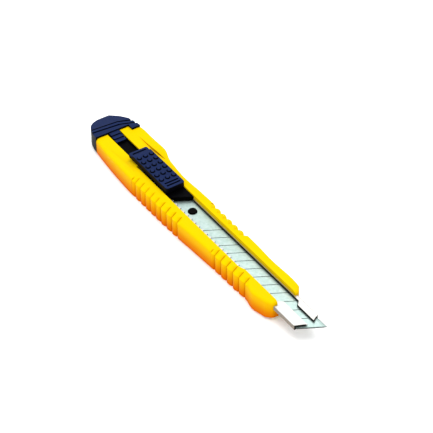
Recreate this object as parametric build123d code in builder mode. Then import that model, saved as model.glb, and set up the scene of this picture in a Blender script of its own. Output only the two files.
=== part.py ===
"""Slim snap-off utility knife: a 9 mm scored blade in a steel sheath, inside a ribbed plastic handle."""
from build123d import *
import math
import os

# The row's frame: +X runs towards the blade tip, +Y towards the cutting edge, +Z up.
# The origin is on the flat underside, below the blade's centre line, half way along the knife.

# Blade: the standard 9 mm snap-off size.
BLADE_WIDTH = 9.0
BLADE_THICKNESS = 0.38
BLADE_LENGTH = 80.0
SEGMENT = 5.0
SCORES = 12
SCORE_SLANT = math.tan(math.radians(30))
SCORE_WIDTH = 0.34
SCORE_DEPTH = 0.1
BEVEL_WIDTH = 1.2
BEVEL_DEPTH = 0.16
BLADE_TIP_X = 71.5
BLADE_Z = 5.62
PEG_X = -3.9
HOLE_RADIUS = 1.85

# Handle: one moulding with a flat underside.
HANDLE_TOP = 8.5
HANDLE_FRONT = 54.1
HANDLE_REAR = -60.3
HEEL_REAR = -57.5
EDGE_RADIUS = 1.5
FOOT_RADIUS = 0.8
SLOT_EDGE = 4.0
SLOT_GRIP_EDGE = -4.6
NOSE_SLOT_EDGE = -3.6
NOSE_SLOT_X = 32.0
NOSE_SLOT_RAMP = 3.0
REAR_SLOT_HALF = 2.8
REAR_SLOT_END = -36.0
STRIP_TOP = 7.35
STRIP_HALF = 6.9
STRIP_END = -41.0
STRIP_RAMP = 8.0
NOSE_CORNER = 1.6
HEEL_NOSE_Y = 5.6
GRIP_NOSE_Y = -5.4
NOSE_RISE = 1.3
NOSE_RISE_LENGTH = 6.0
SHOULDER_FRONT = -38.0
SHOULDER_REAR = -52.5
CORE_HALF = 5.2
CORE_BOTTOM = 1.2
CORE_TOP = 4.0
CORE_FRONT = 44.0

# Grip ribs: rounded lobes with a sharp valley between each pair.
RIB_WRAP = 5.0
RIB_LEAN = math.radians(35)
RIB_SHOULDER_Z = 7.4
RIB_INSET = 0.05

# Sheath: steel strip folded to a channel with two lips over the blade.
SHEATH_WALL = 0.45
SHEATH_HALF = 5.15
SHEATH_BOTTOM = 4.75
SHEATH_TOP = 6.75
SHEATH_REAR = -57.5
NOSE_X = 65.5
NOSE_REACH = 2.0
NOTCHED_LIP_EDGE = -2.75
PLAIN_LIP_EDGE = 3.35
NOSE_NOTCHED_LIP_EDGE = -0.85
NOSE_PLAIN_LIP_EDGE = 1.8
LIP_JOG = 56.5
LIP_JOG_LENGTH = 1.5
NOTCH_PITCH = 2.5
NOTCH_RADIUS = 0.8
NOTCHES_BEHIND = 4
NOTCHES_AHEAD = 24
FIT_GAP = 0.05

# Blade carrier, lock spring and thumb button: they travel together.
CARRIER_BOTTOM = 5.3
CARRIER_HALF = 4.4
CARRIER_FRONT = 1.0
CARRIER_REAR = -54.0
CARRIER_CORNER = 2.5
TAIL_TOP = 6.05
NECK_HALF = 2.6
NECK_REAR = -41.0
SHELF_BOTTOM = 6.95
SHELF_TOP = 8.0
SHELF_GRIP_EDGE = -4.3
SHELF_HEEL_EDGE = 3.8
SHELF_REAR = -18.3
PEG_RADIUS = 1.65
PEG_TOP = 6.6
PEG_ROUNDING = 0.25
SPRING_ROOT_X = -34.5
NIB_X = -21.5
LEAF_INNER = -1.3
LEAF_THICKNESS = 0.3
LEAF_BOTTOM = 6.35
LEAF_TOP = 8.0
NIB_TOP = 6.7
NIB_REACH = 2.5
NIB_RADIUS = 0.65
SPRING_GAP = 0.15
BAY_INNER = -0.9
BUTTON_BOTTOM = 8.7
BUTTON_TOP = 11.1
BUTTON_HALF = 4.1
BUTTON_FRONT = -15.1
BUTTON_STEP = -39.3
BUTTON_REAR = -42.3
BUTTON_LEDGE = 10.2
BUTTON_CHAMFER = 1.0
BUTTON_RADIUS = 0.35
DOT_ROWS = 6
DOT_COLUMNS = 3
DOT_X = -28.6
DOT_PITCH_X = 3.12
DOT_PITCH_Y = 2.75
DOT_RADIUS = 0.62
DOT_HEIGHT = 0.3
DOT_ROOT = 0.1
DOT_ROUNDING = 0.2
BUTTON_GROOVES = (-18.05, -16.6)
GROOVE_WIDTH = 0.6
GROOVE_DEPTH = 0.45
GROOVE_SPAN = 5.2
BOSS_LENGTH = 10.0
BOSS_WIDTH = 1.6
BOSS_DEPTH = 1.2
BOSS_X = -30.0
BOSS_Y = 0.9

# End cap: plugs the handle and snaps off to change the blade.
CAP_TOP = 8.3
CAP_BOTTOM = 0.9
CAP_FRONT_BAND = 1.7
CAP_REAR = -71.4
CAP_REAR_TOP = 7.1
CAP_REAR_BOTTOM = 2.8
CAP_UNDERCUT = 2.4
CAP_SLOPE_X = -64.3
CAP_RIDGE = 2.05
CAP_GROOVES = 2
CAP_GROOVE = 0.75
CAP_GROOVE_DEPTH = 0.65
CAP_GROOVE_REACH = 12.0
CAP_GROOVE_BEND = 4.0
CAP_GROOVE_LAG = 1.4
CAP_GROOVE_LEAD = 3.2
TONGUE_HALF = 2.2
TONGUE_BOTTOM = 6.3
TONGUE_FRONT = -54.2
TONGUE_STEP = 2.0
TONGUE_TOPS = (7.05, 7.45, 7.85)
PLUG_LENGTH = 8.0
PLUG_GAP = 0.2
TAIL_GAP = 0.25
TAIL_POCKET_DEPTH = 7.6

BLADE_TOP = BLADE_Z + BLADE_THICKNESS
BLADE_HALF = BLADE_WIDTH / 2
SLANT_RUN = BLADE_WIDTH * SCORE_SLANT

os.makedirs("parts", exist_ok=True)


# Handle outline seen from above: the plain side, then the side with the heel.
GRIP_SIDE = [
    (51.6, -7.0),
    (48.3, -7.7),
    (44.8, -8.2),
    (41.5, -7.5),
    (37.0, -7.65),
    (29.0, -7.95),
    (22.5, -8.1),
    (14.0, -8.55),
    (5.0, -9.1),
    (-2.0, -9.6),
    (-13.2, -9.95),
    (-22.0, -10.1),
    (-33.0, -10.05),
    (-43.5, -9.6),
    (-51.0, -9.05),
    (HANDLE_REAR, -8.1),
]
HEEL_SIDE = [
    (HEEL_REAR, 11.45),
    (-52.0, 11.55),
    (-47.0, 11.25),
    (-42.5, 11.15),
    (-39.0, 10.85),
    (-36.0, 9.9),
    (-33.0, 8.9),
    (-29.0, 8.3),
    (-22.0, 7.6),
    (-12.0, 7.85),
    (0.0, 8.05),
    (14.0, 8.05),
    (29.0, 7.9),
    (36.0, 7.6),
    (46.0, 7.95),
    (51.6, 7.6),
]
# Each group of grip ribs: the side it is on, its rear end, its pitch, depth and number of valleys.
RIB_GROUPS = [
    (GRIP_SIDE, -30.7, 3.5, 0.8, 5),
    (GRIP_SIDE, -13.2, 3.5, 0.9, 4),
    (GRIP_SIDE, 19.8, 3.55, 0.9, 6),
    (HEEL_SIDE, -1.4, 3.65, 0.65, 6),
]


def outline_point(points, x):
    """The corner of the handle's outline that is straight out from x on one side."""
    ordered = sorted(points)
    for (x0, y0), (x1, y1) in zip(ordered, ordered[1:]):
        if x0 <= x <= x1:
            return Vector(x, y0 + (y1 - y0) * (x - x0) / (x1 - x0), 0)


def draw_valleys(count, pitch, depth, side):
    """A comb that leaves round lobes: count gaps along X, opening towards side (+1 or -1)."""
    lobe_radius = ((pitch / 2) ** 2 + depth**2) / (2 * depth)
    with Locations((0, side * (1 - depth) / 2)):
        Rectangle(count * pitch, 1 + depth)
    with Locations((0, -side * lobe_radius)):
        with GridLocations(pitch, 0, count + 1, 1):
            Circle(lobe_radius, mode=Mode.SUBTRACT)


# --- handle -----------------------------------------------------------------------------------
with BuildPart() as handle_body:
    with BuildSketch():
        with BuildLine():
            grip = Spline(*GRIP_SIDE)
            Polyline(grip @ 1, (HANDLE_REAR, STRIP_HALF), (HEEL_REAR, STRIP_HALF), HEEL_SIDE[0])
            heel = Spline(*HEEL_SIDE)
            Polyline(heel @ 1, (HANDLE_FRONT, HEEL_NOSE_Y), (HANDLE_FRONT, GRIP_NOSE_Y), grip @ 0)
        make_face()
        fillet(vertices().group_by(Axis.X)[-2:], radius=NOSE_CORNER)
    extrude(amount=HANDLE_TOP)
    # The back of the handle is lower on top.
    with BuildSketch(Plane.XZ):
        with BuildLine():
            Polyline(
                (HANDLE_REAR - 1, 0),
                (HANDLE_FRONT + 1, 0),
                (HANDLE_FRONT + 1, HANDLE_TOP),
                (SHOULDER_FRONT, HANDLE_TOP),
                (SHOULDER_REAR, STRIP_TOP),
                (HANDLE_REAR - 1, STRIP_TOP),
                close=True,
            )
        make_face()
    extrude(amount=20, both=True, mode=Mode.INTERSECT)
    top_faces = handle_body.faces().filter_by(lambda face: face.normal_at().Z > 0.9)
    top_rim = top_faces.edges().filter_by(lambda edge: edge.center().X > HEEL_REAR + 0.1)
    top_sides = top_rim.filter_by(lambda edge: abs(edge.center().Y) > 5 or edge.center().X > 50)
    fillet(top_sides, radius=EDGE_RADIUS)
    foot_faces = handle_body.faces().filter_by(lambda face: face.normal_at().Z < -0.9)
    foot_rim = foot_faces.edges().filter_by(lambda edge: edge.center().X > HEEL_REAR + 0.1)
    foot_sides = foot_rim.filter_by(lambda edge: abs(edge.center().Y) > 4 or edge.center().X > 50)
    fillet(foot_sides, radius=FOOT_RADIUS)
    # The underside rises towards the nose.
    with BuildSketch(Plane.XZ):
        with BuildLine():
            Polyline(
                (HANDLE_FRONT - NOSE_RISE_LENGTH, 0),
                (HANDLE_FRONT + 1, NOSE_RISE * (1 + 1 / NOSE_RISE_LENGTH)),
                (HANDLE_FRONT + 1, -1),
                (HANDLE_FRONT - NOSE_RISE_LENGTH, -1),
                close=True,
            )
        make_face()
    extrude(amount=20, both=True, mode=Mode.SUBTRACT)
    # Rib valleys: straight up each side, then leaning in over the shoulder.
    for points, rear_x, pitch, depth, count in RIB_GROUPS:
        rear_end = outline_point(points, rear_x)
        front_end = outline_point(points, rear_x + count * pitch)
        along = (front_end - rear_end).normalized()
        side = math.copysign(1, rear_end.Y)
        inset = Vector(0, -side * RIB_INSET, 0)
        middle = (rear_end + front_end) * 0.5 + inset
        with BuildSketch(Plane(origin=middle, x_dir=along, z_dir=(0, 0, 1))):
            draw_valleys(count, pitch, depth, side)
        extrude(amount=HANDLE_TOP, mode=Mode.SUBTRACT)
        level_in = Vector(0, 0, -side).cross(along)
        inwards = level_in * math.cos(RIB_LEAN) + Vector(0, 0, math.sin(RIB_LEAN))
        shoulder = middle + Vector(0, 0, RIB_SHOULDER_Z)
        with BuildSketch(Plane(origin=shoulder, x_dir=along, z_dir=inwards)):
            draw_valleys(count, pitch, depth, side)
        extrude(amount=RIB_WRAP, both=True, mode=Mode.SUBTRACT)
    # Open slot over the blade: narrow behind the thumb button, and stepped in at the nose.
    with BuildSketch(Plane.XY.offset(SHEATH_TOP)):
        with Locations((HANDLE_REAR - 1, 0)):
            slot_length = HANDLE_FRONT - HANDLE_REAR + 2
            Rectangle(slot_length, 2 * REAR_SLOT_HALF, align=(Align.MIN, Align.CENTER))
        with BuildLine():
            Polyline(
                (REAR_SLOT_END, SLOT_GRIP_EDGE),
                (NOSE_SLOT_X, SLOT_GRIP_EDGE),
                (NOSE_SLOT_X + NOSE_SLOT_RAMP, NOSE_SLOT_EDGE),
                (HANDLE_FRONT + 1, NOSE_SLOT_EDGE),
                (HANDLE_FRONT + 1, SLOT_EDGE),
                (REAR_SLOT_END, SLOT_EDGE),
                close=True,
            )
        make_face()
    extrude(amount=HANDLE_TOP, mode=Mode.SUBTRACT)
    # The strips beside the rear slot are lower, and ramp up under the button.
    with BuildSketch(Plane.XZ):
        with BuildLine():
            Polyline(
                (HANDLE_REAR - 1, STRIP_TOP),
                (STRIP_END, STRIP_TOP),
                (STRIP_END + STRIP_RAMP, HANDLE_TOP),
                (STRIP_END + STRIP_RAMP, HANDLE_TOP + 1),
                (HANDLE_REAR - 1, HANDLE_TOP + 1),
                close=True,
            )
        make_face()
    extrude(amount=STRIP_HALF, both=True, mode=Mode.SUBTRACT)
    # Pocket that holds the sheath, and the moulding's hollow core below it.
    with BuildSketch(Plane.YZ.offset(HANDLE_REAR - 1)):
        with Locations((0, (SHEATH_BOTTOM + SHEATH_TOP) / 2)):
            Rectangle(2 * (SHEATH_HALF + FIT_GAP), SHEATH_TOP - SHEATH_BOTTOM + 2 * FIT_GAP)
    extrude(amount=slot_length, mode=Mode.SUBTRACT)
    with BuildSketch(Plane.YZ.offset(HANDLE_REAR - 1)):
        with Locations((0, (CORE_BOTTOM + CORE_TOP) / 2)):
            Rectangle(2 * CORE_HALF, CORE_TOP - CORE_BOTTOM)
    extrude(amount=CORE_FRONT - HANDLE_REAR + 1, mode=Mode.SUBTRACT)

# --- sheath -----------------------------------------------------------------------------------
with BuildPart() as blade_sheath:
    with BuildSketch(Plane.YZ.offset(SHEATH_REAR)):
        with Locations((0, (SHEATH_BOTTOM + SHEATH_TOP) / 2)):
            RectangleRounded(2 * SHEATH_HALF, SHEATH_TOP - SHEATH_BOTTOM, SHEATH_WALL)
            inner_height = SHEATH_TOP - SHEATH_BOTTOM - 2 * SHEATH_WALL
            Rectangle(2 * (SHEATH_HALF - SHEATH_WALL), inner_height, mode=Mode.SUBTRACT)
    extrude(amount=NOSE_X + NOSE_REACH - SHEATH_REAR)
    # The gap between the lips is narrow at the nose, to hold the working segment down.
    with BuildSketch(Plane.XY.offset(SHEATH_TOP - SHEATH_WALL)):
        with BuildLine():
            Polyline(
                (SHEATH_REAR - 1, NOTCHED_LIP_EDGE),
                (LIP_JOG, NOTCHED_LIP_EDGE),
                (LIP_JOG + LIP_JOG_LENGTH, NOSE_NOTCHED_LIP_EDGE),
                (NOSE_X + 5, NOSE_NOTCHED_LIP_EDGE),
                (NOSE_X + 5, NOSE_PLAIN_LIP_EDGE),
                (LIP_JOG + LIP_JOG_LENGTH, NOSE_PLAIN_LIP_EDGE),
                (LIP_JOG, PLAIN_LIP_EDGE),
                (SHEATH_REAR - 1, PLAIN_LIP_EDGE),
                close=True,
            )
        make_face()
    extrude(amount=1, mode=Mode.SUBTRACT)
    # Both lips end on a slant, and the base ends square, a little further back.
    with BuildSketch(Plane.XY.offset(SHEATH_BOTTOM + SHEATH_WALL)):
        with BuildLine():
            Polyline(
                (NOSE_X, SHEATH_HALF),
                (NOSE_X + NOSE_REACH, NOSE_PLAIN_LIP_EDGE),
                (NOSE_X + NOSE_REACH, NOSE_NOTCHED_LIP_EDGE),
                (NOSE_X, -SHEATH_HALF),
                (NOSE_X, -SHEATH_HALF - 1),
                (NOSE_X + 5, -SHEATH_HALF - 1),
                (NOSE_X + 5, SHEATH_HALF + 1),
                (NOSE_X, SHEATH_HALF + 1),
                close=True,
            )
        make_face()
    extrude(amount=2, mode=Mode.SUBTRACT)
    with BuildSketch(Plane.XY.offset(SHEATH_BOTTOM)):
        with Locations((NOSE_X, 0)):
            Rectangle(5, 2 * SHEATH_HALF + 1, align=(Align.MIN, Align.CENTER))
    extrude(amount=SHEATH_WALL, mode=Mode.SUBTRACT)
    # Stop notches in the lip on the spine side.
    with BuildSketch(Plane.XY.offset(SHEATH_TOP - SHEATH_WALL)):
        for step in range(-NOTCHES_BEHIND, NOTCHES_AHEAD + 1):
            with Locations((NIB_X + step * NOTCH_PITCH, NOTCHED_LIP_EDGE)):
                Circle(NOTCH_RADIUS)
    extrude(amount=1, mode=Mode.SUBTRACT)

# --- blade ------------------------------------------------------------------------------------
with BuildPart() as snap_off_blade:
    with BuildSketch(Plane.XY.offset(BLADE_Z)):
        with BuildLine():
            Polyline(
                (BLADE_TIP_X, BLADE_HALF),
                (BLADE_TIP_X - SLANT_RUN, -BLADE_HALF),
                (BLADE_TIP_X - BLADE_LENGTH - SLANT_RUN, -BLADE_HALF),
                (BLADE_TIP_X - BLADE_LENGTH, BLADE_HALF),
                close=True,
            )
        make_face()
        with Locations((PEG_X, 0)):
            Circle(HOLE_RADIUS, mode=Mode.SUBTRACT)
    extrude(amount=BLADE_THICKNESS)
    cutting_edges = snap_off_blade.edges().filter_by(Axis.X).group_by(Axis.Y)[-1]
    edge_face = snap_off_blade.faces().sort_by(Axis.Y)[-1]
    chamfer(cutting_edges, length=BEVEL_DEPTH, length2=BEVEL_WIDTH, reference=edge_face)
    # Score lines part way through the top face.
    with BuildSketch(Plane.XY.offset(BLADE_TOP - SCORE_DEPTH)):
        for index in range(1, SCORES + 1):
            edge_x = BLADE_TIP_X - index * SEGMENT
            with BuildLine():
                Polyline(
                    (edge_x, BLADE_HALF),
                    (edge_x - SCORE_WIDTH, BLADE_HALF),
                    (edge_x - SCORE_WIDTH - SLANT_RUN, -BLADE_HALF),
                    (edge_x - SLANT_RUN, -BLADE_HALF),
                    close=True,
                )
            make_face()
    extrude(amount=SCORE_DEPTH, mode=Mode.SUBTRACT)

# --- blade carrier ----------------------------------------------------------------------------
rear_edge_x = BLADE_TIP_X - BLADE_LENGTH - FIT_GAP
with BuildPart() as blade_carrier:
    # Thin tongue under the blade, and the long tail behind it.
    with BuildSketch(Plane.XY.offset(CARRIER_BOTTOM)):
        with Locations((CARRIER_REAR, 0)):
            Rectangle(CARRIER_FRONT - CARRIER_REAR, 2 * CARRIER_HALF, align=(Align.MIN, Align.CENTER))
        fillet(vertices().group_by(Axis.X)[-1], radius=CARRIER_CORNER)
    extrude(amount=BLADE_Z - CARRIER_BOTTOM)
    with BuildSketch(Plane.XY.offset(BLADE_Z)):
        with BuildLine():
            Polyline(
                (CARRIER_REAR, -CARRIER_HALF),
                (CARRIER_REAR, CARRIER_HALF),
                (rear_edge_x - (BLADE_HALF - CARRIER_HALF) * SCORE_SLANT, CARRIER_HALF),
                (rear_edge_x - (BLADE_HALF + CARRIER_HALF) * SCORE_SLANT, -CARRIER_HALF),
                close=True,
            )
        make_face()
    extrude(amount=TAIL_TOP - BLADE_Z)
    # Neck between the lips, and a shelf over them that hides the gap behind the blade.
    with BuildSketch(Plane.XY.offset(TAIL_TOP)):
        with BuildLine():
            Polyline(
                (NECK_REAR, -NECK_HALF),
                (NECK_REAR, NECK_HALF),
                (rear_edge_x - (BLADE_HALF - NECK_HALF) * SCORE_SLANT, NECK_HALF),
                (rear_edge_x - (BLADE_HALF + NECK_HALF) * SCORE_SLANT, -NECK_HALF),
                close=True,
            )
        make_face()
    extrude(amount=SHELF_TOP - TAIL_TOP)
    with BuildSketch(Plane.XY.offset(SHELF_BOTTOM)):
        with BuildLine():
            Polyline(
                (SHELF_REAR, SHELF_GRIP_EDGE),
                (SHELF_REAR, SHELF_HEEL_EDGE),
                (rear_edge_x - (BLADE_HALF - SHELF_HEEL_EDGE) * SCORE_SLANT, SHELF_HEEL_EDGE),
                (rear_edge_x - (BLADE_HALF - SHELF_GRIP_EDGE) * SCORE_SLANT, SHELF_GRIP_EDGE),
                close=True,
            )
        make_face()
    extrude(amount=SHELF_TOP - SHELF_BOTTOM)
    # Post that the button sits on, and its snap pocket.
    with BuildSketch(Plane.XY.offset(SHELF_TOP)):
        with Locations((NECK_REAR, 0)):
            Rectangle(BUTTON_FRONT - 2 - NECK_REAR, 2 * NECK_HALF, align=(Align.MIN, Align.CENTER))
    extrude(amount=BUTTON_BOTTOM - SHELF_TOP)
    with BuildSketch(Plane.XY.offset(BUTTON_BOTTOM)):
        with Locations((BOSS_X, BOSS_Y)):
            Rectangle(BOSS_LENGTH + 2 * FIT_GAP, BOSS_WIDTH + 2 * FIT_GAP)
    extrude(amount=-BOSS_DEPTH - FIT_GAP, mode=Mode.SUBTRACT)
    # Bay for the lock spring, open towards the notched lip.
    with BuildSketch(Plane.XY.offset(LEAF_BOTTOM - SPRING_GAP)):
        with Locations((SPRING_ROOT_X - 1, BAY_INNER)):
            bay_length = NIB_X - SPRING_ROOT_X + 3
            Rectangle(bay_length, NECK_HALF + BAY_INNER + 1, align=(Align.MIN, Align.MAX))
    extrude(amount=LEAF_TOP - LEAF_BOTTOM + 2 * SPRING_GAP, mode=Mode.SUBTRACT)
    # Round peg through the blade's hole.
    with BuildSketch(Plane.XY.offset(CARRIER_BOTTOM)):
        with Locations((PEG_X, 0)):
            Circle(PEG_RADIUS)
    extrude(amount=PEG_TOP - CARRIER_BOTTOM)
    fillet(blade_carrier.edges().filter_by(GeomType.CIRCLE).sort_by(Axis.Z)[-1], radius=PEG_ROUNDING)

# --- lock spring ------------------------------------------------------------------------------
with BuildPart() as lock_spring:
    with BuildSketch(Plane.XY.offset(LEAF_BOTTOM)):
        with Locations((SPRING_ROOT_X, LEAF_INNER)):
            leaf_length = NIB_X - SPRING_ROOT_X + NIB_RADIUS
            Rectangle(leaf_length, LEAF_THICKNESS, align=(Align.MIN, Align.MAX))
    extrude(amount=LEAF_TOP - LEAF_BOTTOM)
    # The nib is low on the leaf, level with the sheath's lip.
    with BuildSketch(Plane.XY.offset(LEAF_BOTTOM)):
        with BuildLine():
            Polyline(
                (NIB_X - NIB_RADIUS, -NIB_REACH + NIB_RADIUS),
                (NIB_X - NIB_RADIUS, LEAF_INNER - LEAF_THICKNESS / 2),
                (NIB_X + NIB_RADIUS, LEAF_INNER - LEAF_THICKNESS / 2),
                (NIB_X + NIB_RADIUS, -NIB_REACH + NIB_RADIUS),
            )
            ThreePointArc(
                (NIB_X + NIB_RADIUS, -NIB_REACH + NIB_RADIUS),
                (NIB_X, -NIB_REACH),
                (NIB_X - NIB_RADIUS, -NIB_REACH + NIB_RADIUS),
            )
        make_face()
    extrude(amount=NIB_TOP - LEAF_BOTTOM)

# --- thumb button -----------------------------------------------------------------------------
with BuildPart() as slider_button:
    with BuildSketch(Plane.XY.offset(BUTTON_BOTTOM)):
        with Locations((BUTTON_STEP, 0)):
            Rectangle(BUTTON_FRONT - BUTTON_STEP, 2 * BUTTON_HALF, align=(Align.MIN, Align.CENTER))
        chamfer(vertices().group_by(Axis.X)[-1], length=BUTTON_CHAMFER)
    extrude(amount=BUTTON_TOP - BUTTON_BOTTOM)
    fillet(slider_button.faces().sort_by(Axis.Z)[-1].edges(), radius=BUTTON_RADIUS)
    with BuildSketch(Plane.XY.offset(BUTTON_BOTTOM)):
        with Locations((BUTTON_REAR, 0)):
            ledge_length = BUTTON_STEP - BUTTON_REAR + 1
            Rectangle(ledge_length, 2 * BUTTON_HALF, align=(Align.MIN, Align.CENTER))
    extrude(amount=BUTTON_LEDGE - BUTTON_BOTTOM)
    # Raised dots in rows, and thumb grooves at the front and on the rear ledge.
    with BuildSketch(Plane.XY.offset(BUTTON_TOP - DOT_ROOT)):
        with Locations((DOT_X, 0)):
            with GridLocations(DOT_PITCH_X, DOT_PITCH_Y, DOT_ROWS, DOT_COLUMNS):
                Circle(DOT_RADIUS)
    extrude(amount=DOT_HEIGHT + DOT_ROOT)
    dot_rims = slider_button.edges().filter_by(GeomType.CIRCLE).group_by(Axis.Z)[-1]
    fillet(dot_rims, radius=DOT_ROUNDING)
    with BuildSketch(Plane.XY.offset(BUTTON_TOP)):
        for groove_x in BUTTON_GROOVES:
            with Locations((groove_x, 0)):
                SlotOverall(GROOVE_SPAN, GROOVE_WIDTH, rotation=90)
    extrude(amount=-GROOVE_DEPTH, mode=Mode.SUBTRACT)
    with BuildSketch(Plane.XY.offset(BUTTON_LEDGE)):
        with Locations(((BUTTON_REAR + BUTTON_STEP) / 2, 0)):
            SlotOverall(GROOVE_SPAN, GROOVE_WIDTH, rotation=90)
    extrude(amount=-GROOVE_DEPTH, mode=Mode.SUBTRACT)
    with BuildSketch(Plane.XY.offset(BUTTON_BOTTOM)):
        with Locations((BOSS_X, BOSS_Y)):
            Rectangle(BOSS_LENGTH, BOSS_WIDTH)
    extrude(amount=-BOSS_DEPTH)

# --- end cap ----------------------------------------------------------------------------------
CAP_GRIP_SIDE = [
    (HANDLE_REAR, -8.2),
    (-63.6, -7.75),
    (-66.6, -6.75),
    (-69.2, -5.0),
    (-70.8, -2.6),
    (CAP_REAR, 0.2),
]
CAP_HEEL_SIDE = [
    (CAP_REAR, 4.4),
    (-68.0, 7.3),
    (-63.8, 9.3),
    (-62.0, 9.5),
    (-62.0, 9.95),
    (-60.0, 10.05),
    (-60.0, 10.45),
    (HEEL_REAR, 10.6),
]
with BuildPart() as end_cap:
    with BuildSketch(Plane.XY.offset(CAP_BOTTOM)):
        with BuildLine():
            Spline(*CAP_GRIP_SIDE)
            Polyline(CAP_GRIP_SIDE[-1], *CAP_HEEL_SIDE)
            Polyline(
                CAP_HEEL_SIDE[-1],
                (HEEL_REAR, STRIP_HALF),
                (HANDLE_REAR, STRIP_HALF),
                CAP_GRIP_SIDE[0],
            )
        make_face()
    extrude(amount=CAP_TOP - CAP_BOTTOM)
    # The tail slopes down to the rear above, and up a little below.
    with BuildSketch(Plane.XZ):
        with BuildLine():
            Polyline(
                (HEEL_REAR + 1, CAP_BOTTOM),
                (HEEL_REAR + 1, CAP_TOP),
                (CAP_SLOPE_X, CAP_TOP),
                (CAP_REAR - 0.1, CAP_REAR_TOP),
                (CAP_REAR - 0.1, CAP_REAR_BOTTOM),
                (CAP_REAR + CAP_UNDERCUT, CAP_BOTTOM),
                close=True,
            )
        make_face()
    extrude(amount=20, both=True, mode=Mode.INTERSECT)
    # Ridges: each groove runs across the top, and swings forward towards the heel side.
    with BuildSketch(Plane.XY.offset(CAP_TOP - CAP_GROOVE_DEPTH)):
        for index in range(CAP_GROOVES):
            groove_front = HANDLE_REAR - CAP_FRONT_BAND - index * CAP_RIDGE
            with BuildLine():
                Polyline(
                    (groove_front - CAP_GROOVE_LAG, -CAP_GROOVE_REACH),
                    (groove_front, CAP_GROOVE_BEND),
                    (groove_front + CAP_GROOVE_LEAD, CAP_GROOVE_REACH),
                    (groove_front + CAP_GROOVE_LEAD - CAP_GROOVE, CAP_GROOVE_REACH),
                    (groove_front - CAP_GROOVE, CAP_GROOVE_BEND),
                    (groove_front - CAP_GROOVE_LAG - CAP_GROOVE, -CAP_GROOVE_REACH),
                    close=True,
                )
            make_face()
    extrude(amount=2, mode=Mode.SUBTRACT)
    # Stepped tongue in the rear slot, plug in the handle's core, pocket for the carrier's tail.
    for index, step_top in enumerate(TONGUE_TOPS):
        with BuildSketch(Plane.XY.offset(TONGUE_BOTTOM)):
            with Locations((HANDLE_REAR - 1, 0)):
                reach = TONGUE_FRONT - index * TONGUE_STEP - HANDLE_REAR + 1
                Rectangle(reach, 2 * TONGUE_HALF, align=(Align.MIN, Align.CENTER))
        extrude(amount=step_top - TONGUE_BOTTOM)
    with BuildSketch(Plane.YZ.offset(HANDLE_REAR - 1)):
        with Locations((0, (CORE_BOTTOM + CORE_TOP) / 2)):
            Rectangle(2 * (CORE_HALF - PLUG_GAP), CORE_TOP - CORE_BOTTOM - 2 * PLUG_GAP)
    extrude(amount=PLUG_LENGTH + 1)
    with BuildSketch(Plane.YZ.offset(HANDLE_REAR - TAIL_POCKET_DEPTH)):
        with Locations((0, (CARRIER_BOTTOM + TAIL_TOP) / 2)):
            Rectangle(2 * (CARRIER_HALF + TAIL_GAP), TAIL_TOP - CARRIER_BOTTOM + 2 * PLUG_GAP)
    extrude(amount=TAIL_POCKET_DEPTH + PLUG_LENGTH, mode=Mode.SUBTRACT)

for name, piece in {
    "handle_body": handle_body,
    "blade_sheath": blade_sheath,
    "snap_off_blade": snap_off_blade,
    "blade_carrier": blade_carrier,
    "lock_spring": lock_spring,
    "slider_button": slider_button,
    "end_cap": end_cap,
}.items():
    piece.part.label = name
    export_step(piece.part, f"parts/{name}.step")
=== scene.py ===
# %% [markdown]
# # A slim snap-off cutter, finished in Blender
#
# The knife is about 143 mm long: a yellow moulded handle, a folded steel sheath, a scored blade,
# a black carrier with a navy thumb button, and a navy end cap. A packed engineering model gives
# every part its size and place, so the first step is to load it and to note its outer box.

# %% Load the packed model
import math

import bpy
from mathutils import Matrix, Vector


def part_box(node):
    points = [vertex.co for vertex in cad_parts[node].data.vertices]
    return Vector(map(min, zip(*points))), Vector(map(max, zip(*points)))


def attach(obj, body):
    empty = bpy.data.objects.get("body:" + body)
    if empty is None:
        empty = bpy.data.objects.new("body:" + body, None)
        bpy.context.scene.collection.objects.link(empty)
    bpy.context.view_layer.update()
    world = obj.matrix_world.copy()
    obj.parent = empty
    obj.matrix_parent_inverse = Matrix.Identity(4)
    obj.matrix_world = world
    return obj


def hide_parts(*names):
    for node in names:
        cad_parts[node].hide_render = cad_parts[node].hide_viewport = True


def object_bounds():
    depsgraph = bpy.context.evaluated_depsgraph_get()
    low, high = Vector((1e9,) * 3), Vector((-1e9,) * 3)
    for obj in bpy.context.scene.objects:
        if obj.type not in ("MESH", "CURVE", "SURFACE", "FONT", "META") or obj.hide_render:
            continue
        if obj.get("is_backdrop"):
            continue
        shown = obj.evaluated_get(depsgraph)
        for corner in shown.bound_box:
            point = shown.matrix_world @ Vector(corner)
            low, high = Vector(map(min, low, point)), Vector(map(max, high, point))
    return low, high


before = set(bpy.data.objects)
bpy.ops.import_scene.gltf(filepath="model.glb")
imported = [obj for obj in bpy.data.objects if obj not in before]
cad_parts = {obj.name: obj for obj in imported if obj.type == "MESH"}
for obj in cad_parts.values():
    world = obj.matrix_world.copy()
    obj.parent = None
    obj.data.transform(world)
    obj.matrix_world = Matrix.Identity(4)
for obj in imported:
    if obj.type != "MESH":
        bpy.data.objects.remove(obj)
bpy.context.view_layer.update()

# %% [markdown]
# Lengths in this file are in metres, but a knife is thought of in millimetres. One small function
# turns millimetres into metres wherever a size or a place is given.

# %% Millimetres
MM_PER_METRE = 1000.0


def mm(value):
    """Millimetres as metres."""
    return value * 0.001


def mm_point(x, y, z):
    """A place on the knife, given in millimetres."""
    return Vector((mm(x), mm(y), mm(z)))


def node_box(name):
    """The lowest and highest corner of a CAD part, in millimetres."""
    low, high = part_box(name)
    return [value * MM_PER_METRE for value in low], [value * MM_PER_METRE for value in high]


for part_name in sorted(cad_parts):
    print(part_name, [[round(value, 2) for value in corner] for corner in node_box(part_name)])

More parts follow.
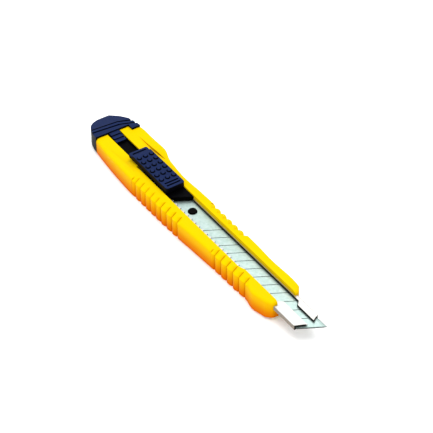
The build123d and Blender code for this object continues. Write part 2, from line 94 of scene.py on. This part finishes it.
# %% [markdown]
# The camera stands beyond the blade's tip, on the side of the blade's blunt back, about half a metre
# away, and looks down at 41 degrees. A long lens keeps the knife's two sides almost parallel.

# %% Camera
CAMERA_AZIMUTH = math.radians(55.61)
CAMERA_ELEVATION = math.radians(40.86)
CAMERA_DISTANCE = 506.45
CAMERA_TARGET = (3.4, 5.72, 6.0)
CAMERA_LENS = 114.11
SENSOR_WIDTH = 36.0
NEAREST_SEEN = 10.0

towards_camera = Vector((
    math.sin(CAMERA_AZIMUTH) * math.cos(CAMERA_ELEVATION),
    -math.cos(CAMERA_AZIMUTH) * math.cos(CAMERA_ELEVATION),
    math.sin(CAMERA_ELEVATION),
))
camera_data = bpy.data.cameras.new("camera")
camera_data.lens = CAMERA_LENS
camera_data.sensor_width = SENSOR_WIDTH
camera_data.clip_start = mm(NEAREST_SEEN)
camera = bpy.data.objects.new("camera", camera_data)
camera.location = mm_point(*CAMERA_TARGET) + towards_camera * mm(CAMERA_DISTANCE)
camera.rotation_mode = "QUATERNION"
camera.rotation_quaternion = towards_camera.to_track_quat("Z", "Y")
bpy.context.scene.collection.objects.link(camera)
bpy.context.scene.camera = camera
print("camera at", [round(value, 3) for value in camera.location])

# %% [markdown]
# Materials are small node trees. Wiring them line by line is hard to read, so one class holds a
# socket and lets ordinary arithmetic make the Math nodes: `1 - mask` adds a Subtract node. Any
# other node comes from one method, which takes the node's type, its settings and its inputs.

# %% Shader arithmetic
class Wire:
    """An output socket of a material's node tree, with arithmetic."""

    def __init__(self, tree, socket=None):
        self.tree = tree
        self.socket = socket

    def node(self, kind, settings=None, inputs=None, output=0):
        """Adds a node; its settings are made first, then its inputs are set or linked."""
        made = self.tree.nodes.new(kind)
        for key, value in (settings or {}).items():
            setattr(made, key, value)
        for key, value in (inputs or {}).items():
            if isinstance(value, Wire):
                self.tree.links.new(value.socket, made.inputs[key])
            else:
                made.inputs[key].default_value = value
        return Wire(self.tree, made.outputs[output])

    def maths(self, operation, *values):
        return self.node("ShaderNodeMath", {"operation": operation}, dict(enumerate(values)))

    def __add__(self, other):
        return self.maths("ADD", self, other)

    def __radd__(self, other):
        return self.maths("ADD", other, self)

    def __sub__(self, other):
        return self.maths("SUBTRACT", self, other)

    def __rsub__(self, other):
        return self.maths("SUBTRACT", other, self)

    def __mul__(self, other):
        return self.maths("MULTIPLY", self, other)

    def __rmul__(self, other):
        return self.maths("MULTIPLY", other, self)

    def __truediv__(self, other):
        return self.maths("DIVIDE", self, other)

    def __abs__(self):
        return self.maths("ABSOLUTE", self)

    def fraction(self):
        """What is left after the whole number."""
        return self.maths("FRACT", self)

    def larger(self, other):
        """The larger of two."""
        return self.maths("MAXIMUM", self, other)

    def smooth(self, low, high):
        """0 below low, 1 above high, and a soft step between."""
        settings = {"interpolation_type": "SMOOTHSTEP"}
        return self.node("ShaderNodeMapRange", settings, {"Value": self, "From Min": low, "From Max": high})


print("a wire can", sorted(name for name in vars(Wire) if not name.startswith("__")))

# %% [markdown]
# Every finish on the knife needs the same few things: where a point is on the part, which way the
# surface faces there, and a soft noise at some grain size. These helpers read the part's own
# coordinates, so a pattern stays put when the part moves. Noise sizes are given as the size of one
# blotch in millimetres.

# %% Reading the surface
def new_finish(name):
    """An empty Principled material, as the wire to build on and its shader node."""
    material = bpy.data.materials.new(name)
    material.use_nodes = True
    tree = material.node_tree
    return material, Wire(tree), tree.nodes["Principled BSDF"]


def place_of(wire):
    """The point's place on the part, in metres."""
    return wire.node("ShaderNodeTexCoord", output="Object")


def facing(wire):
    """The way the surface faces, from the part's own normal."""
    return wire.node("ShaderNodeTexCoord", output="Normal")


def split(wire, vector):
    """The x, y and z of a vector."""
    parts = wire.node("ShaderNodeSeparateXYZ", inputs={"Vector": vector})
    return [Wire(wire.tree, parts.socket.node.outputs[axis]) for axis in "XYZ"]


def facing_up(wire):
    """1 where the surface faces straight up, 0 on a wall."""
    return split(wire, facing(wire))[2]


def noise(wire, vector, blotch_mm, detail=2.0, stretch=(1, 1, 1)):
    """A soft noise from 0 to 1 with blotches of about the size given."""
    size = MM_PER_METRE / blotch_mm
    scaled = wire.node(
        "ShaderNodeMapping", inputs={"Vector": vector, "Scale": [size * axis for axis in stretch]}
    )
    return wire.node("ShaderNodeTexNoise", inputs={"Vector": scaled, "Scale": 1.0, "Detail": detail})


print("noise can stretch along each axis, as brushed steel needs")

# %% [markdown]
# Grooves look dark because little light reaches their floors. A rounded edge of bright sheet looks
# dark too, because it turns away from the light. Both shades are painted into the colour, and both can
# be found from the shape itself: an Ambient Occlusion node feels how closed in a point is, from outside
# for a groove, and from inside the metal for an edge. It looks only at its own part, so nothing changes
# when the knife moves.

# %% Grooves and edges
GROOVE_SAMPLES = 8
RIM_SAMPLES = 16
RIM_FALL = (0.78, 0.95)


def painted_groove_shade(wire, reach_mm, closed, open_air):
    """Painted groove shade: 1 where less than closed of the sky is seen by its own part, 0 above open_air.
    """
    settings = {"samples": GROOVE_SAMPLES, "only_local": True}
    open_sky = wire.node("ShaderNodeAmbientOcclusion", settings, {"Distance": mm(reach_mm)}, output=1)
    return 1.0 - open_sky.smooth(closed, open_air)


def rim(wire, reach_mm):
    """Painted edge shade: 1 along the outer edges of a part, 0 away from them, found from inside the part.
    """
    settings = {"samples": RIM_SAMPLES, "inside": True, "only_local": True}
    open_depth = wire.node("ShaderNodeAmbientOcclusion", settings, {"Distance": mm(reach_mm)}, output=1)
    return 1.0 - open_depth.smooth(*RIM_FALL)


print("grooves use", GROOVE_SAMPLES, "samples and rims", RIM_SAMPLES)

# %% [markdown]
# The last helpers mix two colours, make a bump from a height, and join everything to the shader.
# Colours go through a Mix node, because a Math node would turn them grey.

# %% Colours, bumps and the shader
MIX_COLOUR_SOCKETS = (("Factor", 0), ("A", 6), ("B", 7))
MIX_COLOUR_RESULT = 2


def blend_colours(wire, amount, first, second):
    """A colour between two, by amount."""
    inputs = {"Factor": amount, "A": first, "B": second}
    node = wire.node("ShaderNodeMix", {"data_type": "RGBA"}).socket.node
    for key, index in MIX_COLOUR_SOCKETS:
        if isinstance(inputs[key], Wire):
            wire.tree.links.new(inputs[key].socket, node.inputs[index])
        else:
            node.inputs[index].default_value = inputs[key]
    return Wire(wire.tree, node.outputs[MIX_COLOUR_RESULT])


def bumped(wire, height, depth_mm):
    """A normal from a height of 0 to 1, where 1 stands depth_mm proud."""
    return wire.node("ShaderNodeBump", inputs={"Height": height, "Distance": mm(depth_mm)})


def connect(wire, shader, **channels):
    """Links or sets the shader's inputs; an underscore in a name stands for a space."""
    for name, value in channels.items():
        socket = shader.inputs[name.replace("_", " ")]
        if isinstance(value, Wire):
            wire.tree.links.new(value.socket, socket)
        else:
            socket.default_value = value


print("a colour mix leaves by socket", MIX_COLOUR_RESULT)

# %% [markdown]
# ## Yellow moulding
#
# The handle is moulded in a hard, bright plastic. Its skin is smooth but not a mirror: a fine orange
# peel from the mould softens every reflection, and hands polish some places more than others. The
# tops are bright yellow. On the outer walls and the nose, shade is painted in as orange that deepens
# towards the foot, and the painted shade in the rib valleys is deeper still.

# %% Yellow plastic
YELLOW_TOP = ((0.63, 0.42, 0.0, 1), (0.65, 0.46, 0.0, 1))
# The two oranges are painted shade: one for the outer walls and the nose, a deeper one for grooves and rib
# valleys.
ORANGE_WALL_SHADE = (0.52, 0.105, 0.0, 1)
ORANGE_GROOVE_SHADE = (0.38, 0.085, 0.0, 1)
WALL_TURN = (0.05, 0.85)
WALL_FOOT, WALL_HEAD = 0.5, 7.8
OUTER_WALL = (mm(5.0), mm(5.8))
NOSE_TURN = (0.4, 0.7)
NOSE_STARTS = (mm(40), mm(45))
LEAST_WALL_SHADE, GROOVE_SHADE_STRENGTH = 0.25, 0.8
YELLOW_ROUGHNESS, YELLOW_WEAR = 0.34, 0.14


def yellow_moulding():
    material, wire, shader = new_finish("yellow_moulding")
    place = place_of(wire)
    along, across, height = split(wire, place)
    cloud = noise(wire, place, blotch_mm=9.0)
    peel = noise(wire, place, blotch_mm=0.35, detail=3.0)
    # Painted shade: sideways faces of the outer walls and the nose blend to orange, more strongly towards
    # the foot.
    wall = 1.0 - facing_up(wire).smooth(*WALL_TURN)
    depth = 1.0 - height.smooth(mm(WALL_FOOT), mm(WALL_HEAD))
    nose = split(wire, facing(wire))[0].smooth(*NOSE_TURN) * along.smooth(*NOSE_STARTS)
    outer = abs(across).smooth(*OUTER_WALL).larger(nose)
    deep = wall * outer * (LEAST_WALL_SHADE + depth * (1 - LEAST_WALL_SHADE))
    colour = blend_colours(wire, deep, blend_colours(wire, cloud, *YELLOW_TOP), ORANGE_WALL_SHADE)
    # Painted shade: closed-in grooves and rib valleys blend to a deeper orange.
    groove = painted_groove_shade(wire, reach_mm=0.8, closed=0.35, open_air=0.9)
    connect(
        wire,
        shader,
        Base_Color=blend_colours(wire, groove * GROOVE_SHADE_STRENGTH, colour, ORANGE_GROOVE_SHADE),
        Roughness=YELLOW_ROUGHNESS + cloud * YELLOW_WEAR,
        Normal=bumped(wire, peel, depth_mm=0.008),
        Specular_IOR_Level=0.01,
    )
    return material


yellow = yellow_moulding()
print("yellow moulding:", len(yellow.node_tree.nodes), "nodes")

# %% [markdown]
# ## Navy and black plastics
#
# The cap and the thumb button are satin navy, and the carrier is black nylon. Thumb parts are given a
# matt skin for grip, so their tops carry a fine grain and stay dull. The walls and the grooves are
# painted almost black as shade, so that the tops keep the lit colour and the walls a shaded one.

# %% Dark plastics
# Painted shade: the wall colours make walls and grooves near black, while the tops keep the plastic's lit
# colour.
NAVY_TOP, NAVY_WALL_SHADE = (0.0042, 0.0108, 0.047), (0.0004, 0.0004, 0.002, 1)
BLACK_TOP, BLACK_WALL_SHADE = (0.0006, 0.0006, 0.0009), (0.0004, 0.0004, 0.0004, 1)
RUBBED_PALER = 1.35
TOP_TURN = (0.2, 0.9)
GRAIN_ROUGHNESS = 0.18


def dark_plastic(name, top, wall, roughness, sheen):
    """A matt top skin, with walls and grooves painted darker as shade."""
    material, wire, shader = new_finish(name)
    place = place_of(wire)
    cloud = noise(wire, place, blotch_mm=3.0)
    grain = noise(wire, place, blotch_mm=0.22, detail=4.0)
    rubbed = [channel * RUBBED_PALER for channel in top]
    skin = blend_colours(wire, cloud, (*top, 1), (*rubbed, 1))
    # Painted shade: closed-in grooves and rings take the near-black wall colour.
    groove = painted_groove_shade(wire, reach_mm=1.1, closed=0.60, open_air=0.98)
    skin = blend_colours(wire, groove, skin, wall)
    connect(
        wire,
        shader,
        # Painted shade: faces that turn from up to sideways take the wall colour.
        Base_Color=blend_colours(wire, facing_up(wire).smooth(*TOP_TURN), wall, skin),
        Roughness=roughness + grain * GRAIN_ROUGHNESS,
        Normal=bumped(wire, grain, depth_mm=0.012),
        Specular_IOR_Level=sheen,
    )
    return material


navy = dark_plastic("navy_plastic", NAVY_TOP, NAVY_WALL_SHADE, roughness=0.40, sheen=0.05)
black = dark_plastic("black_nylon", BLACK_TOP, BLACK_WALL_SHADE, roughness=0.30, sheen=0.02)
print("dark plastics:", navy.name, black.name)

# %% [markdown]
# ## Steels
#
# The sheath is folded from bright strip, so its grain runs along the knife. The blade is ground
# across, and has a pale green cast, as a thin film of oil gives. Both share one recipe: a bright,
# slightly cloudy skin where the steel lies flat, dark cut edges that are partly blackened steel and
# partly painted shade, a painted brown reflection along the outer fold, and marks of its own.

# %% Steel
FLAT_TURN = (0.3, 0.95)
OUTER_FOLD = (mm(4.98), mm(5.10))
# Painted reflection: the steel's outer fold is drawn a warm brown-grey.
FOLD_REFLECTION_BROWN = (0.20, 0.17, 0.14, 1)
BARE_METAL = 0.9
CLOUD_TURN = (0.2, 0.8)
LINE_ROUGHNESS = 0.12


def steel(name, pale, deep, blackened_and_shaded_edge, roughness, stretch, marks):
    """Bright steel whose cut edges are dark, partly blackened and partly painted shade; each mark makes a
    wire that is 1 on its dark places.
    """
    material, wire, shader = new_finish(name)
    place = place_of(wire)
    across = split(wire, place)[1]
    cloud = noise(wire, place, blotch_mm=1.1, detail=4.0).smooth(*CLOUD_TURN)
    lines = noise(wire, place, blotch_mm=0.12, detail=3.0, stretch=stretch)
    # Faces that are not flat take the edge colour: dark cut edges, partly blackened steel and partly
    # painted shade.
    flat = abs(facing_up(wire)).smooth(*FLAT_TURN)
    skin = blend_colours(wire, cloud, deep, pale)
    # Each mark blends in the dark edge colour: painted shade on the lips, the sheath's rear end and the
    # blade's tip and edge, and the blade's real scores.
    for mark in marks:
        skin = blend_colours(wire, mark(wire, place), skin, blackened_and_shaded_edge)
    # Painted reflection: the walls of the outer fold take the brown instead of the dark edge colour.
    edge = blend_colours(wire, abs(across).smooth(*OUTER_FOLD), blackened_and_shaded_edge, FOLD_REFLECTION_BROWN)
    connect(
        wire,
        shader,
        Base_Color=blend_colours(wire, flat, edge, skin),
        Metallic=flat * BARE_METAL,
        Specular_IOR_Level=0.05,
        Roughness=roughness + lines * LINE_ROUGHNESS,
        Normal=bumped(wire, lines, depth_mm=0.003),
    )
    return material


print("edges turn dark below", FLAT_TURN[1])

# %% [markdown]
# The far lip of the sheath has a dark line of painted shade all along its inner edge, and the near lip
# only at its front end. The rear end of the sheath is painted dark as shade too. It is seen only through
# the narrow gap beside the cap's tongue, and bright steel there would be a stray speck.

# %% Sheath steel
RIM_REACH = 0.45
FAR_LIP = (0.0, mm(0.1))
FAR_LIP_OUTER = (mm(3.9), mm(4.0))
NEAR_LIP = (mm(-1.3), mm(-1.2))
LIP_END = (mm(64.3), mm(64.5))
REAR_END = (mm(-54.5), mm(-53.5))


def lip_edge_shade(wire, place):
    """1 on the edges of the two lips, where shade is painted dark."""
    along, across = split(wire, place)[:2]
    far_lip = across.smooth(*FAR_LIP) * (1.0 - across.smooth(*FAR_LIP_OUTER))
    near_lip_end = along.smooth(*LIP_END) * (1.0 - across.smooth(*NEAR_LIP))
    return rim(wire, RIM_REACH) * far_lip.larger(near_lip_end)


def painted_rear_shade(wire, place):
    """1 at the sheath's rear end, which is painted dark as shade."""
    return 1.0 - split(wire, place)[0].smooth(*REAR_END)


sheath_steel = steel(
    "sheath_steel",
    pale=(0.54, 0.535, 0.51, 1),
    deep=(0.47, 0.465, 0.44, 1),
    blackened_and_shaded_edge=(0.001, 0.001, 0.001, 1),
    roughness=0.30,
    stretch=(0.03, 1, 1),
    marks=(lip_edge_shade, painted_rear_shade),
)
print("sheath steel:", len(sheath_steel.node_tree.nodes), "nodes")

# %% [markdown]
# The blade is scored across at 30 degrees, so that a blunt segment snaps off. A score is worked out
# from the distance behind the slanted tip: its fraction of one segment is small just on a score. The
# tip and the ground edge get a thin grey line of painted shade as well, where the bevel turns down.

# %% Blade steel
BLADE_TIP, BLADE_HALF = 71.5, 4.5
SEGMENT, SEGMENTS = 5.0, 12
SCORE_WIDTH, SCORE_SOFTNESS = 0.34, 0.2
SCORE_SLANT = math.tan(math.radians(30))
FIRST_SCORE, LAST_SCORE = (0.90, 0.91), (SEGMENTS + 0.90, SEGMENTS + 0.91)
TIP_RIM = (mm(0.22), mm(0.34))
EDGE_RIM = (mm(4.22), mm(4.32))
SCORE_STRENGTH = 0.75


def score_lines(wire, place):
    """Dark on the slanted snap-off scores, one segment apart, and painted shade along the tip and the edge.
    """
    along, across = split(wire, place)[:2]
    behind_tip = mm(BLADE_TIP) - (mm(BLADE_HALF) - across) * SCORE_SLANT - along
    segments = behind_tip / mm(SEGMENT)
    width = SCORE_WIDTH / SEGMENT
    line = 1.0 - segments.fraction().smooth(width * (1 - SCORE_SOFTNESS), width * (1 + SCORE_SOFTNESS))
    scored = segments.smooth(*FIRST_SCORE) * (1.0 - segments.smooth(*LAST_SCORE))
    tip_and_edge_shade = (1.0 - behind_tip.smooth(*TIP_RIM)).larger(across.smooth(*EDGE_RIM))
    return (line * scored).larger(tip_and_edge_shade) * SCORE_STRENGTH


blade_steel = steel(
    "blade_steel",
    pale=(0.42, 0.52, 0.50, 1),
    deep=(0.32, 0.43, 0.40, 1),
    blackened_and_shaded_edge=(0.03, 0.036, 0.036, 1),
    roughness=0.35,
    stretch=(1, 0.05, 1),
    marks=(score_lines,),
)
print("blade steel:", len(blade_steel.node_tree.nodes), "nodes")

# %% [markdown]
# Every packed part gets its finish here. The button and the sheath are shaped anew further down, and
# the other five keep their packed shape. The leaf spring is hidden under the button. It is taken to be
# blackened, so it shares the carrier's black.

# %% Give each CAD part its finish
FINISHES = {
    "handle_body": yellow,
    "blade_sheath": sheath_steel,
    "snap_off_blade": blade_steel,
    "blade_carrier": black,
    "lock_spring": black,
    "slider_button": navy,
    "end_cap": navy,
}
for part_name, finish in FINISHES.items():
    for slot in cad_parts[part_name].material_slots:
        slot.material = finish
    print(part_name, "is", finish.name)

# %% [markdown]
# ## Modelling helpers
#
# Pieces are shaped as by hand: a block is added at its place, edit mode is opened, faces are picked
# by where they are, and an operator moves, cuts or bevels them. Everything is deselected first,
# because an operator acts on all that is selected.

# %% Picking and cutting
def take(piece):
    """Makes one piece the only selected one, and the active one."""
    bpy.ops.object.select_all(action="DESELECT")
    piece.select_set(True)
    bpy.context.view_layer.objects.active = piece


def add_block(name, low, high):
    """A box between two corners in millimetres, with its place in its mesh."""
    bpy.ops.object.select_all(action="DESELECT")
    size = [mm(top - bottom) for bottom, top in zip(low, high)]
    centre = [mm((top + bottom) / 2) for bottom, top in zip(low, high)]
    bpy.ops.mesh.primitive_cube_add(size=1.0, location=centre, scale=size)
    piece = bpy.context.object
    piece.name = name
    bpy.ops.object.transform_apply(location=True, rotation=True, scale=True)
    return piece


def pick(piece, wanted, kind="FACE"):
    """Selects the faces or edges that are wanted, by their middle in millimetres and their direction.

    The direction is a face's normal, or the way that an edge runs.
    """
    bpy.ops.mesh.select_mode(type=kind)
    bpy.ops.mesh.select_all(action="DESELECT")
    bpy.ops.object.mode_set(mode="OBJECT")
    mesh = piece.data
    count = 0
    for part in mesh.polygons if kind == "FACE" else mesh.edges:
        corners = [mesh.vertices[index].co * MM_PER_METRE for index in part.vertices]
        middle = sum(corners, Vector()) / len(corners)
        direction = part.normal if kind == "FACE" else (corners[1] - corners[0]).normalized()
        part.select = bool(wanted(middle, direction))
        count += part.select
    bpy.ops.object.mode_set(mode="EDIT")
    return count


def cut(x=None, y=None, z=None):
    """Cuts the whole mesh with a plane across one axis, at a place in millimetres."""
    places = [(0 if value is None else mm(value)) for value in (x, y, z)]
    across = [0 if value is None else 1 for value in (x, y, z)]
    bpy.ops.mesh.select_all(action="SELECT")
    bpy.ops.mesh.bisect(plane_co=places, plane_no=across)


def push(x=0.0, y=0.0, z=0.0):
    """Extrudes the picked faces by a distance in millimetres."""
    bpy.ops.mesh.extrude_region_move(TRANSFORM_OT_translate={"value": mm_point(x, y, z)})


print("helpers: take, add_block, pick, cut, push")

# %% [markdown]
# What repeats is modelled once and then copied, and each copy has a mesh of its own. Modifiers are
# applied at once, so that the next step works on the real faces.

# %% Copying and joining
def use_modifier(piece, kind, **settings):
    """Adds a modifier and applies it."""
    bpy.context.view_layer.objects.active = piece
    modifier = piece.modifiers.new(kind.lower(), kind)
    for key, value in settings.items():
        setattr(modifier, key, value)
    bpy.ops.object.modifier_apply(modifier=modifier.name)


def join(pieces):
    """Joins pieces into the first of them."""
    bpy.ops.object.select_all(action="DESELECT")
    for piece in pieces:
        piece.select_set(True)
    bpy.context.view_layer.objects.active = pieces[0]
    bpy.ops.object.join()
    return pieces[0]


def copies_of(first, places):
    """The first piece, and a copy of its own mesh moved to each further place in millimetres."""
    made = [first]
    for place in places:
        twin = first.copy()
        twin.data = first.data.copy()
        bpy.context.scene.collection.objects.link(twin)
        take(twin)
        bpy.ops.object.mode_set(mode="EDIT")
        bpy.ops.mesh.select_all(action="SELECT")
        bpy.ops.transform.translate(value=mm_point(*place))
        bpy.ops.object.mode_set(mode="OBJECT")
        made.append(twin)
    return made


print("helpers: use_modifier, join, copies_of")

# %% [markdown]
# A packed part is a soup of loose triangles. To reshape one, it is copied, its doubled corners are
# merged, and flat areas are dissolved into single faces, so that a bevel finds only the real edges.
# The finished piece then rides on its body and stands for the packed part, which is hidden.

# %% Merging and finishing
MERGE_DISTANCE = 0.002
FLAT_ANGLE = math.radians(0.5)


def merged_copy(node, name):
    """A copy of a CAD part as one merged mesh, whose flat areas are single faces."""
    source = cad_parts[node]
    piece = source.copy()
    piece.data = source.data.copy()
    piece.name = name
    piece.parent = None
    piece.matrix_world = source.matrix_world.copy()
    for key in list(piece.keys()):
        del piece[key]
    bpy.context.scene.collection.objects.link(piece)
    take(piece)
    bpy.ops.object.mode_set(mode="EDIT")
    bpy.ops.mesh.select_all(action="SELECT")
    bpy.ops.mesh.remove_doubles(threshold=mm(MERGE_DISTANCE))
    bpy.ops.mesh.dissolve_limited(angle_limit=FLAT_ANGLE)
    bpy.ops.object.mode_set(mode="OBJECT")
    return piece


def finish_piece(piece, body, nodes, finish, sharp_above):
    """Gives a piece its finish and its body, and hides the CAD parts that it stands for."""
    take(piece)
    bpy.ops.object.shade_smooth_by_angle(angle=math.radians(sharp_above))
    piece.data.materials.clear()
    piece.data.materials.append(finish)
    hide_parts(*nodes)
    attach(piece, body)
    print(piece.name, len(piece.data.polygons), "faces, for", nodes)


print("corners nearer than", MERGE_DISTANCE, "mm are merged")

# %% [markdown]
# ## Thumb button
#
# The button is one small navy moulding with a step at its rear, three finger grooves, and eighteen
# round pips that stop the thumb from slipping. Each pip stands in a shallow ring, which is what
# makes it look crisp. It is cut from a block: the step is a face that is extruded backwards, the
# corners and the top edge are bevelled, and the grooves are strips pushed down.

# %% Button block with its step
BUTTON_REAR, BUTTON_STEP, BUTTON_FRONT = -42.3, -39.3, -15.1
BUTTON_HALF = 4.1
BUTTON_FOOT, BUTTON_LEDGE, BUTTON_TOP = 8.7, 10.2, 10.95
FRONT_CORNER, REAR_CORNER, TOP_ROUND = 1.0, 0.6, 0.16
UPRIGHT, LEVEL = 0.9, 0.1
CLOSE, TOUCH = 0.1, 0.01


def top_edge(middle, along):
    """The edges round the button's top and round its ledge."""
    on_ledge = middle.z > BUTTON_LEDGE - TOUCH and middle.x < BUTTON_STEP - TOUCH
    return abs(along.z) < LEVEL and (middle.z > BUTTON_TOP - TOUCH or on_ledge)


button = add_block(
    "thumb_button", (BUTTON_STEP, -BUTTON_HALF, BUTTON_FOOT), (BUTTON_FRONT, BUTTON_HALF, BUTTON_TOP)
)
bpy.ops.object.mode_set(mode="EDIT")
cut(z=BUTTON_LEDGE)
pick(button, lambda middle, normal: normal.x < -UPRIGHT and middle.z < BUTTON_LEDGE)
push(x=BUTTON_REAR - BUTTON_STEP)
pick(button, lambda middle, along: abs(along.z) > UPRIGHT and middle.x > BUTTON_FRONT - CLOSE, "EDGE")
bpy.ops.mesh.bevel(offset=mm(FRONT_CORNER), segments=3)
pick(button, lambda middle, along: abs(along.z) > UPRIGHT and middle.x < BUTTON_REAR + CLOSE, "EDGE")
bpy.ops.mesh.bevel(offset=mm(REAR_CORNER), segments=2)
rounded = pick(button, top_edge, "EDGE")
bpy.ops.mesh.bevel(offset=mm(TOP_ROUND), segments=2)
print("rounded edges:", rounded)

# %% [markdown]
# Three finger grooves run across the button, two at the front and one on the ledge. The block is
# still open in edit mode. Planes cut its top into strips, and the strips are pushed down.

# %% Button grooves
GROOVE_HALF_WIDTH, GROOVE_HALF_LENGTH, GROOVE_DEPTH = 0.36, 3.0, 0.7
GROOVES = (-18.15, -16.65, -40.9)


def groove_strip(middle, normal):
    """The strips of the top that become groove floors."""
    in_groove = any(abs(middle.x - place) < GROOVE_HALF_WIDTH for place in GROOVES)
    return normal.z > UPRIGHT and abs(middle.y) < GROOVE_HALF_LENGTH and in_groove


for place in GROOVES:
    for side in (-1, 1):
        cut(x=place + side * GROOVE_HALF_WIDTH)
for side in (-1, 1):
    cut(y=side * GROOVE_HALF_LENGTH)
strips = pick(button, groove_strip)
push(z=-GROOVE_DEPTH)
bpy.ops.object.mode_set(mode="OBJECT")
print("groove floors:", strips)

# %% [markdown]
# The rings are cut with one Boolean, from eighteen short plugs. The pips are cylinders whose top
# edge is bevelled, so that each one catches a small light on its rim. A short neck under the button
# reaches down into the carrier.

# %% Rings, pips and neck
PIP_COLUMNS, PIP_ROWS = 6, 3
PIP_PITCH, PIP_ROW_PITCH = 3.12, 2.75
PIP_CENTRE = -28.6
PIP_RADIUS, PIP_TOP, PIP_ROUND, PIP_SIDES = 0.72, 11.38, 0.16, 28
RING_RADIUS, RING_FLOOR, RING_PLUG_TOP = 1.08, 10.45, 12.0
SUNK = 0.2
NECK_REAR, NECK_FRONT, NECK_HALF, NECK_SUNK = -36.0, -20.0, 2.0, 0.3


def turned_plug(name, radius, bottom, top):
    """A round plug at the first pip's place."""
    bpy.ops.object.select_all(action="DESELECT")
    start_x = PIP_CENTRE - PIP_PITCH * (PIP_COLUMNS - 1) / 2
    start_y = -PIP_ROW_PITCH * (PIP_ROWS - 1) / 2
    bpy.ops.mesh.primitive_cylinder_add(
        vertices=PIP_SIDES,
        radius=mm(radius),
        depth=mm(top - bottom),
        location=mm_point(start_x, start_y, (top + bottom) / 2),
    )
    plug = bpy.context.object
    plug.name = name
    bpy.ops.object.transform_apply(location=True, rotation=True, scale=True)
    return plug


pip_steps = [
    (column * PIP_PITCH, row * PIP_ROW_PITCH, 0)
    for column in range(PIP_COLUMNS)
    for row in range(PIP_ROWS)
][1:]
rings = join(copies_of(turned_plug("ring_plugs", RING_RADIUS, RING_FLOOR, RING_PLUG_TOP), pip_steps))
use_modifier(button, "BOOLEAN", operation="DIFFERENCE", object=rings, solver="EXACT")
bpy.data.objects.remove(rings)
pip = turned_plug("pip", PIP_RADIUS, RING_FLOOR - SUNK, PIP_TOP)
bpy.ops.object.mode_set(mode="EDIT")
pick(pip, lambda middle, along: middle.z > PIP_TOP - TOUCH and abs(along.z) < LEVEL, "EDGE")
bpy.ops.mesh.bevel(offset=mm(PIP_ROUND), segments=2)
bpy.ops.object.mode_set(mode="OBJECT")
neck_foot = node_box("slider_button")[0][2]
neck = add_block(
    "neck", (NECK_REAR, -NECK_HALF, neck_foot), (NECK_FRONT, NECK_HALF, BUTTON_FOOT + NECK_SUNK)
)
button = join([button, neck, *copies_of(pip, pip_steps)])
finish_piece(button, "slider", ["slider_button"], navy, sharp_above=35)

# %% [markdown]
# ## Steel sheath
#
# The sheath is one strip folded over at both sides, so its lips have rounded edges that look black
# where they turn away from the light. The packed shape has sharp ones. A merged copy of it gets a
# small bevel on every sharp edge, which is how a stamped strip leaves its tool after tumbling. The
# near lip widens towards the nose, and the place where it widens is moved back under the rail, so
# that only the straight lip shows.

# %% Rounded sheath
EDGE_ROUND = 0.2
JOG_REAR, JOG_FRONT, JOG_SHIFT = 56.0, 58.5, -4.0
NOTCHED_EDGE, NOSE_EDGE, LIP_FOOT = -2.75, -0.85, 6.0


def slanted_jog(middle, along):
    """The slanted edges where the near lip widens."""
    in_place = JOG_REAR < middle.x < JOG_FRONT and NOTCHED_EDGE < middle.y < NOSE_EDGE
    slanted = abs(along.z) < LEVEL and abs(along.x) > LEVEL and abs(along.y) > LEVEL
    return in_place and slanted and middle.z > LIP_FOOT


sheath = merged_copy("blade_sheath", "folded_sheath")
bpy.ops.object.mode_set(mode="EDIT")
jog_edges = pick(sheath, slanted_jog, "EDGE")
bpy.ops.transform.translate(value=mm_point(JOG_SHIFT, 0, 0))
bpy.ops.object.mode_set(mode="OBJECT")
print("edges of the jog moved under the rail:", jog_edges)
use_modifier(
    sheath,
    "BEVEL",
    width=mm(EDGE_ROUND),
    segments=3,
    limit_method="ANGLE",
    angle_limit=math.radians(40),
    use_clamp_overlap=True,
)
finish_piece(sheath, "handle", ["blade_sheath"], sheath_steel, sharp_above=5)

# %% [markdown]
# ## Floor and light
#
# The knife lies on a plain pale floor, just below its underside so that the two never flicker.

# %% Floor
FLOOR_SIZE, FLOOR_DROP = 4.0, 0.02
FLOOR_WHITES = ((0.95, 0.95, 0.95, 1), (0.97, 0.97, 0.97, 1))


def plain_floor():
    bpy.ops.mesh.primitive_plane_add(size=FLOOR_SIZE, location=mm_point(0, 0, -FLOOR_DROP))
    floor = bpy.context.object
    floor.name = "floor"
    material, wire, shader = new_finish("pale_floor")
    speck = noise(wire, place_of(wire), blotch_mm=30.0)
    connect(wire, shader, Base_Color=blend_colours(wire, speck, *FLOOR_WHITES), Roughness=0.9)
    floor.data.materials.append(material)
    floor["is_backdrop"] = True
    return floor


print("floor:", plain_floor().name)

# %% [markdown]
# One large soft light hangs high above the knife, a little towards its far side, so the tops are bright
# and the near side falls into shade. A weaker one, low on the near side, lifts that side, and a bright
# white world keeps every shadow soft.

# %% Lights
WHITE, WORLD_STRENGTH = (1, 1, 1, 1), 1.06


def soft_light(name, place, size, power):
    """A round soft light at a place in metres, aimed at the knife."""
    data = bpy.data.lights.new(name, "AREA")
    data.shape = "DISK"
    data.size = size
    data.energy = power
    lamp = bpy.data.objects.new(name, data)
    lamp.location = place
    lamp.rotation_mode = "QUATERNION"
    lamp.rotation_quaternion = Vector(place).to_track_quat("Z", "Y")
    bpy.context.scene.collection.objects.link(lamp)
    print(name, power, "watts")


soft_light("key_light", (-0.12, 0.14, 0.85), size=1.0, power=7.0)
soft_light("fill_light", (0.25, -0.80, 0.30), size=0.8, power=2.8)
world = bpy.data.worlds.new("studio")
world.use_nodes = True
background = world.node_tree.nodes["Background"]
background.inputs["Color"].default_value = WHITE
background.inputs["Strength"].default_value = WORLD_STRENGTH
bpy.context.scene.world = world
bpy.context.scene.view_settings.view_transform = "Standard"

# %% [markdown]
# The last step notes the finished model's outer box.

# %% Finish
bpy.context.view_layer.update()
visual_box = [list(corner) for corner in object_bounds()]
visual_mm = [[round(value * MM_PER_METRE, 2) for value in corner] for corner in visual_box]
print("visual box in mm:", visual_mm)
